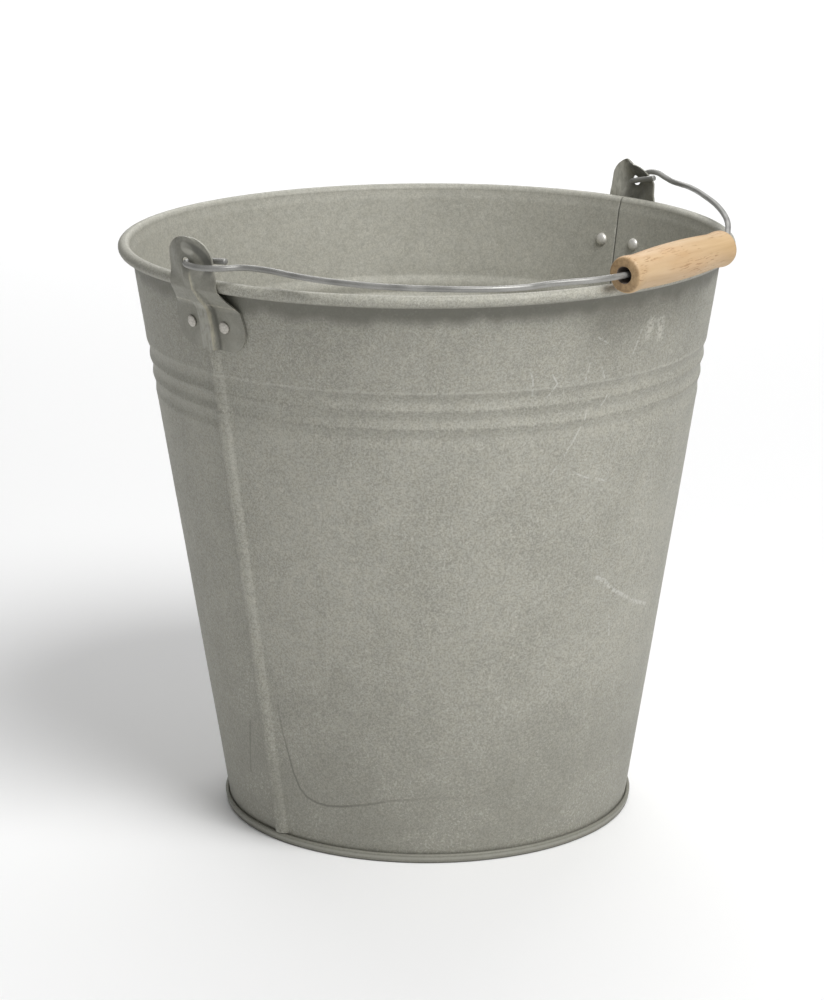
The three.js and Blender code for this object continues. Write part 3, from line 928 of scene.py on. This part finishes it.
def marked_seams(g, colour, broken, outside, inside):
    """Painted shade in each seam's fold outside, dirt in its joint inside, and a painted
    highlight on its edge.
    """
    x, y, z = g.axes()
    side = g.times(g.math("SIGN", x), y)
    seam_height = g.times(g.fall(z, 290, 293.5), outside)
    # Painted shade in the seam's outer fold
    fold = g.near(side, -0.0029, 0.3, 1.6)
    colour = g.tint(colour, ZINC_DARK, fold, seam_height, 0.85)
    # Painted highlight on the seam's lit shoulder
    lit_ridge = g.near(side, 0.0042, 0.3, 1.2)
    colour = g.tint(colour, ZINC_PALE, lit_ridge, seam_height, g.span(broken, 0.0, 1.0, 0.03, 0.14))
    joint = g.near(side, 0.0022, 0.2, 0.8)
    colour = g.tint(colour, NEAR_BLACK, joint, inside, 0.8)

    # The half that the seam covers has painted shade beside the left ear
    left_of_seam_shade = g.times(g.rise(y, -0.5, 0.5), g.fall(x, -120, -60))
    return g.tint(colour, ZINC_DARK, left_of_seam_shade, outside, 0.22)


def dried_runs(g, colour, around, flat, z, outside):
    """A dried drip: down beside the seam, round, and along above the foot, and a short one."""
    drip = g.times(strokes(g, flat, DRIP, 0.9), g.span(around, 3.4, 4.1, 1.0, 0.1))
    drip = g.times(drip, g.span(z, 0.045, 0.08, 1.0, 0.35))
    drip = g.math("MAXIMUM", drip, g.times(strokes(g, flat, SHORT_RUN, 1.1), 0.6))
    colour = g.tint(colour, DRIED_DIRT, drip, outside, 0.62)
    above = g.times(g.rise(z, 34, 36), g.fall(z, 50, 75), g.span(around, 3.9, 4.3))
    return g.tint(colour, ZINC_DARK, above, outside, 0.1)


def scuffed_wall(g, colour, flat, broken, outside):
    """Pale scuffs and scratches."""
    scuffed = 0.0
    for line in SCUFFS:
        scuffed = g.math("MAXIMUM", scuffed, strokes(g, flat, line, 0.55))
    scuffed = g.math("MAXIMUM", scuffed, strokes(g, flat, RUB, 1.4))
    colour = g.tint(colour, SCRATCH, scuffed, broken, outside, 0.6)
    for start, stop in PALE_PATCHES:
        patch = stroke(g, flat, start, stop, 4.2, 0.8)
        colour = g.tint(colour, ZINC_PALE, patch, broken, outside, 0.6)
    return colour


def wall_material():
    g = Graph("weathered_zinc")
    x, y, z = g.axes()
    angle = g.math("ARCTAN2", y, x)
    around = g.math("ADD", angle, g.times(g.math("LESS_THAN", angle, 0.0), 2 * math.pi))
    flat = g.join(g.times(around, SPREAD), z, 0.0)
    outside = g.outward(-0.05, -0.02)
    inside = g.math("SUBTRACT", 1.0, outside)
    broken = g.span(g.noise(620, 2.0, 0.6), 0.38, 0.58)
    colour, worms, grains, clouds = zinc_coat(g)

    # Inside, painted light makes the whole face paler, and the spangle is paler and rounder
    spangle = g.span(g.cells(260), 0.2, 0.7, 1.0, 0.0)
    colour = g.tint(colour, ZINC_PALE, inside, 0.2)
    colour = g.tint(colour, ZINC_PALE, inside, spangle, 0.14)

    colour, rough_band = darkened_under_rim(g, colour, clouds, outside)
    colour = worn_grooves(g, colour, z, broken, outside)
    colour = marked_seams(g, colour, broken, outside, inside)

    # The rim is unevenly tarnished
    colour = g.tint(colour, ZINC_DARK, g.rise(z, 301.5, 304), g.span(clouds, 0.4, 0.62), 0.12)

    # The wall has painted shade towards the foot, with pale flecks gathered low down
    colour = g.tint(colour, ZINC_DARK, g.fall(z, 0, 150), outside, 0.45)
    fleck = g.times(g.span(g.noise(820, 1.0, 0.5), 0.57, 0.65), g.span(clouds, 0.36, 0.62))
    fleck = g.times(fleck, g.span(z, 0.08, 0.15, 1.0, 0.25))
    colour = g.tint(colour, ZINC_PALE, fleck, outside, 0.24)

    colour = dried_runs(g, colour, around, flat, z, outside)
    colour = scuffed_wall(g, colour, flat, broken, outside)
    coat = g.bump(worms, 0.0001, 0.35)
    coat = g.bump(grains, 0.00004, 0.3, coat)
    coat = g.bump(rough_band, 0.00012, 0.4, coat)
    return g.finish(colour, g.span(worms, 0.3, 0.7, 0.55, 0.7), coat, 0.12)


def foot_material():
    """Darker zinc, with a rubbed middle and a dark line along the edge that stands on the
    floor.
    """
    g = Graph("foot_zinc")
    colour, worms, grains, _ = zinc_coat(g)
    z = g.axes()[2]
    colour = g.mix(0.76, colour, ZINC_DARK)
    colour = g.tint(colour, ZINC_PALE, g.near(z, 0.0027, 0.4, 1.1), 0.22)
    colour = g.tint(colour, NEAR_BLACK, g.fall(z, 0.3, 1.2), 0.6)
    coat = g.bump(grains, 0.00005, 0.4, g.bump(worms, 0.0001, 0.4))
    return g.finish(colour, g.span(worms, 0.3, 0.7, 0.55, 0.7), coat, 0.15)


def ear_material():
    """Stamped sheet, darker than the wall, with dirt and painted shade beside the rib and
    painted highlights on its folds.
    """
    g = Graph("ear_zinc")
    colour, worms, _, clouds = zinc_coat(g, 0.55)
    colour = g.mix(0.66, colour, ZINC_DARK)
    colour = g.tint(colour, ZINC_PALE, g.span(clouds, 0.52, 0.66), 0.16)
    x, y, z = g.axes()
    side = g.times(g.math("SIGN", x), y)
    outer = g.outward(-0.05, 0.02)
    inner = g.math("SUBTRACT", 1.0, outer)
    scratchy = g.span(g.noise(500, 3.0, 0.6, stretch=(1, 1, 0.3)), 0.38, 0.6, 0.25, 1.0)

    # The rib: dirt and painted shade along its feet, wear on its top, and painted highlights on
    # its shoulder and on the step's fold
    under_step = g.fall(z, 293, 294.5)
    over_step = g.math("SUBTRACT", 1.0, under_step)
    from_rib = g.math("SUBTRACT", side, g.span(z, 0.282, 0.296, 0.0012, -0.0008))
    off_rib = g.math("ABSOLUTE", from_rib)
    shoulder = g.span(z, 0.289, 0.304, 0.0040, 0.0026)
    feet = g.times(g.near(off_rib, 0.0058, 0.3, 2.0), under_step)
    top = g.times(g.fall(off_rib, 3.2, 4.2), under_step)
    crest = g.times(g.near(from_rib, shoulder, 0.2, 0.8), g.fall(z, 306, 311))
    fold = g.times(g.near(z, 0.2925, 0.15, 0.8), g.rise(off_rib, 3.5, 5.5))
    colour = g.tint(colour, RIB_DIRT_AND_SHADE, feet, outer, 0.55)
    colour = g.tint(colour, ZINC_PALE, top, outer, scratchy, 0.3)
    # Painted highlight along the rib's lit shoulder
    colour = g.tint(colour, RIB_HIGHLIGHT, crest, outer, scratchy, 0.7)
    # Painted highlight along the step's fold
    colour = g.tint(colour, FOLD_HIGHLIGHT, fold, outer, scratchy, 0.55)

    # The boss round the hole: a painted highlight above it, painted shade round the edge of the
    # crown, and painted shade round the hole
    across = g.math("SUBTRACT", side, 0.0012)
    up = g.math("SUBTRACT", z, 0.3215)
    leaning = g.math("SUBTRACT", across, g.times(up, -0.6))
    patch = g.vector("LENGTH", g.join(g.times(leaning, 0.7), up, 0.0))
    colour = g.tint(colour, ZINC_PALE, g.fall(patch, 2.2, 3.6), outer, 0.5)
    # Painted shade round the edge of the crown
    crown = g.join(g.times(side, 0.75), g.math("SUBTRACT", z, 0.3135), 0.0)
    ring = g.near(g.vector("LENGTH", crown), 0.0098, 0.9, 2.3)
    ring = g.times(ring, outer, g.rise(side, -6, 8), g.rise(z, 305, 312))
    colour = g.tint(colour, CROWN_SHADE, ring, 0.75)
    # Painted shade round the hole, where the wire shadows the ear
    pit = g.vector("LENGTH", g.join(side, g.math("SUBTRACT", z, HOLE_HEIGHT * MM), 0.0))
    colour = g.tint(colour, EAR_SHADE, g.fall(pit, 2.7, 6.2), over_step, 0.35)

    # Inside, one side has painted light where it faces the lamp, and the fold under the bent
    # corner has painted shade
    lit_side = g.times(g.rise(side, 2, 9), inner, g.span(scratchy, 0.2, 1.0, 0.5, 1.0))
    colour = g.tint(colour, ZINC_PALE, lit_side, 0.65)
    corner_shade = g.times(g.fall(side, 1, 6.5), g.rise(z, 316.5, 321.5), inner)
    colour = g.tint(colour, EAR_SHADE, corner_shade, 0.6)
    coat = g.bump(worms, 0.00009, 0.35)
    coat = g.bump(scratchy, 0.00006, 0.4, coat)
    return g.finish(colour, g.span(worms, 0.3, 0.7, 0.45, 0.6), coat, 0.3)


def wire_material():
    g = Graph("drawn_wire")
    fine = g.noise(1400, 2.0, 0.5)
    patches = g.noise(60, 2.0, 0.5)
    dark, light = tone(0.27, 0.268, 0.255), tone(0.37, 0.366, 0.35)
    colour = g.mix(g.span(patches, 0.35, 0.65), dark, light)
    colour = g.mix(g.span(fine, 0.3, 0.7, 0.0, 0.25), colour, ZINC_DARK)
    roughness = g.span(patches, 0.3, 0.7, 0.34, 0.48)
    return g.finish(colour, roughness, g.bump(fine, 0.00004, 0.4), 0.5)


def rivet_material():
    """Hammered steel. Rivets lie along their own Z, which points out of the bucket."""
    g = Graph("hammered_rivet")
    fine = g.noise(900, 3.0, 0.6)
    dark, light = tone(0.45, 0.43, 0.385), tone(0.62, 0.595, 0.54)
    colour = g.mix(g.span(fine, 0.35, 0.65), dark, light)

    # The domes inside the bucket are made brighter than the heads outside
    colour = g.tint(colour, tone(0.86, 0.845, 0.8), g.fall(g.axes()[2], -0.6, 0), 0.75)
    roughness = g.span(fine, 0.3, 0.7, 0.36, 0.52)
    return g.finish(colour, roughness, g.bump(fine, 0.0001, 0.5), 0.55)


def wood_material():
    """Bare turned wood, with its grain along the grip's own Z, pores, and dark end grain."""
    g = Graph("turned_wood")
    along = g.noise(90, 4.0, 0.6, 0.4, stretch=(1, 1, 0.12))
    rings = g.noise(320, 3.0, 0.6, 0.3, stretch=(1, 1, 0.05))
    tint = g.noise(25, 2.0, 0.5, stretch=(1, 1, 0.4))
    colour = g.mix(g.span(along, 0.3, 0.7), tone(0.5, 0.33, 0.16), tone(0.62, 0.44, 0.245))
    colour = g.mix(g.span(rings, 0.35, 0.7, 0.0, 0.35), colour, tone(0.42, 0.25, 0.12))
    colour = g.mix(g.span(tint, 0.35, 0.65, 0.0, 0.3), colour, tone(0.68, 0.52, 0.36))
    flecks = g.noise(1250, 2.0, 0.6, 0.2, stretch=(1, 1, 0.12))
    where = g.noise(90, 2.0, 0.5, stretch=(1, 1, 0.4))
    pores = g.times(g.span(flecks, 0.55, 0.63), g.span(where, 0.4, 0.56))
    colour = g.tint(colour, tone(0.3, 0.155, 0.06), pores, 0.7)
    ruddy = g.span(g.noise(40, 3.0, 0.6, stretch=(1, 1, 0.5)), 0.5, 0.66)
    colour = g.tint(colour, tone(0.5, 0.28, 0.12), ruddy, 0.3)

    # End grain at both tips, and painted shade in the bore
    x, y, z = g.axes()
    end_grain = g.span(g.noise(500, 3.0, 0.6), 0.35, 0.65)
    dark_end = g.mix(end_grain, tone(0.26, 0.165, 0.08), tone(0.4, 0.27, 0.14))
    colour = g.tint(colour, dark_end, g.rise(g.math("ABSOLUTE", z), 41.8, 42.9), 0.85)
    bore = g.fall(g.vector("LENGTH", g.join(x, y, 0.0)), 4.1, 4.4)
    colour = g.mix(bore, colour, tone(0.16, 0.13, 0.11))
    roughness = g.span(rings, 0.3, 0.7, 0.48, 0.62)
    coat = g.bump(pores, 0.00012, -0.6)
    coat = g.bump(rings, 0.00008, 0.4, coat)
    return g.finish(colour, roughness, coat, 0.0)


# ---------------------------------------------------------------- the bucket
wall_zinc = wall_material()
ear_zinc = ear_material()
rivet_steel = rivet_material()
wire_steel = wire_material()

wall_half("wall_front", math.pi, wall_zinc)
wall_half("wall_rear", 0.0, wall_zinc)
bottom(foot_material())
ear("bail_ear_left", -1, ear_zinc)
ear("bail_ear_right", 1, ear_zinc)
RIVETS = [
    ("left_rear", -1, -1),
    ("left_front", -1, 1),
    ("right_front", 1, -1),
    ("right_rear", 1, 1),
]
for seed, (corner_name, side_sign, flank) in enumerate(RIVETS, 11):
    rivet(f"rivet_{corner_name}", side_sign, flank, rivet_steel, seed)
bail(wire_steel)
grip(wood_material())
rim_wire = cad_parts["rim_wire"].data
rim_wire.materials.clear()
rim_wire.materials.append(wire_steel)

# ---------------------------------------------------------------- stage
FLOOR_REACH = 8.0
WORLD_STRENGTH = 0.27
LIGHT_AIM = Vector((0, 0, 0.15))

floor_mesh = bpy.data.meshes.new("floor")
near_edge, far_edge = -FLOOR_REACH, FLOOR_REACH
corners = [
    (near_edge, near_edge, 0),
    (far_edge, near_edge, 0),
    (far_edge, far_edge, 0),
    (near_edge, far_edge, 0),
]
floor_mesh.from_pydata(corners, [], [(0, 1, 2, 3)])
paper = Graph("pale_paper")
paper.shader.inputs["Base Color"].default_value = tone(0.9, 0.9, 0.9)
paper.shader.inputs["Roughness"].default_value = 0.9
floor_mesh.materials.append(paper.material)
floor = bpy.data.objects.new("floor", floor_mesh)
bpy.context.scene.collection.objects.link(floor)

world = bpy.data.worlds.new("studio")
world.use_nodes = True
background = world.node_tree.nodes["Background"]
background.inputs["Color"].default_value = tone(1.0, 1.0, 1.0)
background.inputs["Strength"].default_value = WORLD_STRENGTH
bpy.context.scene.world = world
bpy.context.scene.view_settings.view_transform = "Standard"


def soft_light(name, place, size, power, down=False):
    """A round soft light that looks at the bucket's lower half, or straight down."""
    lamp = bpy.data.lights.new(name, "AREA")
    lamp.shape = "DISK"
    lamp.size = size
    lamp.energy = power
    thing = bpy.data.objects.new(name, lamp)
    thing.location = place
    aim = Vector((0, 0, -1)) if down else LIGHT_AIM - Vector(place)
    thing.rotation_euler = aim.to_track_quat("-Z", "Y").to_euler()
    bpy.context.scene.collection.objects.link(thing)


soft_light("key", (-0.22, -1.33, 2.0), 1.15, 45)
soft_light("far_floor", (2.4, 2.4, 2.6), 4.0, 110, down=True)

# The camera stands at the corner between -X and -Y, and looks down on the bucket
CAMERA_PLACE = (-1.1806, -1.1806, 0.6191)
CAMERA_LENS = 117.37
PITCH = 0.2666
HEADING = math.radians(-45) + 0.0048
ROLL = -0.0030

camera_data = bpy.data.cameras.new("camera")
camera_data.sensor_width = 36.0
camera_data.lens = CAMERA_LENS
camera = bpy.data.objects.new("camera", camera_data)
look = Euler((math.pi / 2 - PITCH, 0, HEADING)).to_matrix() @ Matrix.Rotation(ROLL, 3, "Z")
camera.matrix_world = Matrix.Translation(CAMERA_PLACE) @ look.to_4x4()
bpy.context.scene.collection.objects.link(camera)
bpy.context.scene.camera = camera
